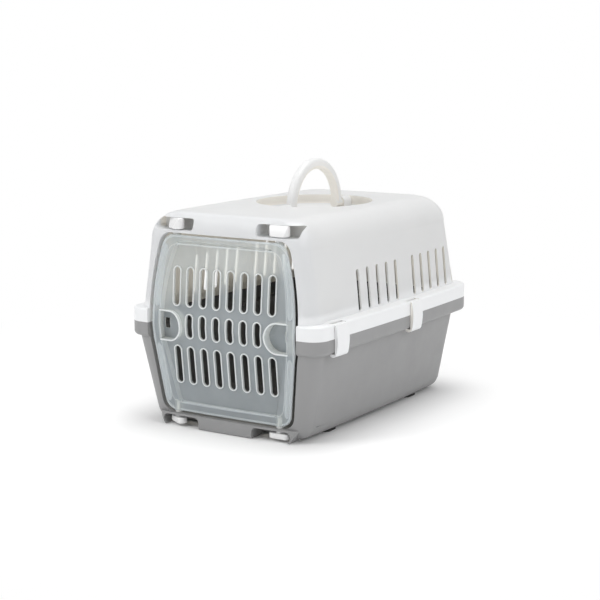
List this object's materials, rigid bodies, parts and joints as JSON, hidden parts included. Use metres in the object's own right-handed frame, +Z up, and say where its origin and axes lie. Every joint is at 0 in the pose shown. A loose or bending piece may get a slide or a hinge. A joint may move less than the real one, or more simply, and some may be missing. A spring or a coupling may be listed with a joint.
{
  "type": "pet carrier",
  "caption": "Rigid plastic pet carrier with a grey tub, off-white lid, slotted swing door, folding carrying handle, edge clips and turn locks.",
  "frame": {"origin": "bottom centre of the bounding box, on the plane the feet stand on", "axes": "+Z up, -Y out of the door, +X to the right hand seen from the front"},
  "size_m": [0.3404, 0.4725, 0.3695],
  "materials": {
    "tub_grey": "satin moulded polypropylene",
    "shell_white": "semi-gloss moulded polypropylene",
    "door_smoke": "translucent blue-grey, semi-gloss",
    "lock_white": "semi-gloss moulded plastic",
    "foot_black": "matt black rubber"
  },
  "bodies": {
    "carrier": {"base_shell": "tub_grey", "top_shell": "shell_white", "foot_left_front": "foot_black", "foot_left_rear": "foot_black", "foot_right_front": "foot_black", "foot_right_rear": "foot_black"},
    "door": {"door_panel": "door_smoke"},
    "carry_handle": {"handle": "shell_white"},
    "turn_lock_lower_left": {"lock_lower_left": "lock_white"},
    "turn_lock_upper_left": {"lock_upper_left": "lock_white"},
    "edge_clip_left_front": {"clip_left_front": "shell_white"},
    "edge_clip_left_rear": {"clip_left_rear": "shell_white"},
    "turn_lock_lower_right": {"lock_lower_right": "lock_white"},
    "turn_lock_upper_right": {"lock_upper_right": "lock_white"},
    "edge_clip_right_front": {"clip_right_front": "shell_white"},
    "edge_clip_right_rear": {"clip_right_rear": "shell_white"},
    "edge_clip_back": {"clip_back": "shell_white"}
  },
  "joints": [
    {"name": "door_hinge", "type": "hinge", "parent": "carrier", "child": "door", "pos_m": [0.086, -0.2155, 0.1485], "axis": [0, 0, 1], "range_deg": [0, 105]},
    {"name": "handle_fold", "type": "hinge", "parent": "carrier", "child": "carry_handle", "pos_m": [0, 0.013, 0.2975], "axis": [0, 1, 0], "range_deg": [-90, 90]},
    {"name": "lock_lower_left_turn", "type": "hinge", "parent": "carrier", "child": "turn_lock_lower_left", "pos_m": [-0.086, -0.2155, 0.012], "axis": [0, 0, 1], "range_deg": [-15, 30]},
    {"name": "lock_upper_left_turn", "type": "hinge", "parent": "carrier", "child": "turn_lock_upper_left", "pos_m": [-0.086, -0.2155, 0.287], "axis": [0, 0, 1], "range_deg": [-15, 30]},
    {"name": "lock_lower_right_turn", "type": "hinge", "parent": "carrier", "child": "turn_lock_lower_right", "pos_m": [0.086, -0.2155, 0.012], "axis": [0, 0, 1], "range_deg": [0, 45]},
    {"name": "lock_upper_right_turn", "type": "hinge", "parent": "carrier", "child": "turn_lock_upper_right", "pos_m": [0.086, -0.2155, 0.287], "axis": [0, 0, 1], "range_deg": [0, 45]},
    {"name": "clip_right_front_swing", "type": "hinge", "parent": "carrier", "child": "edge_clip_right_front", "pos_m": [0.1574, -0.18285, 0.1634], "axis": [-0.0335, -0.9994, 0], "range_deg": [0, 100]},
    {"name": "clip_left_front_swing", "type": "hinge", "parent": "carrier", "child": "edge_clip_left_front", "pos_m": [-0.1574, -0.18285, 0.1634], "axis": [-0.0335, 0.9994, 0], "range_deg": [0, 100]},
    {"name": "clip_right_rear_swing", "type": "hinge", "parent": "carrier", "child": "edge_clip_right_rear", "pos_m": [0.16032, 0.02598, 0.1634], "axis": [0.0055, -1, 0], "range_deg": [0, 100]},
    {"name": "clip_left_rear_swing", "type": "hinge", "parent": "carrier", "child": "edge_clip_left_rear", "pos_m": [-0.16032, 0.02598, 0.1634], "axis": [0.0055, 1, 0], "range_deg": [0, 100]},
    {"name": "clip_back_swing", "type": "hinge", "parent": "carrier", "child": "edge_clip_back", "pos_m": [0, 0.2264, 0.1634], "axis": [1, 0, 0], "range_deg": [0, 100]}
  ]
}
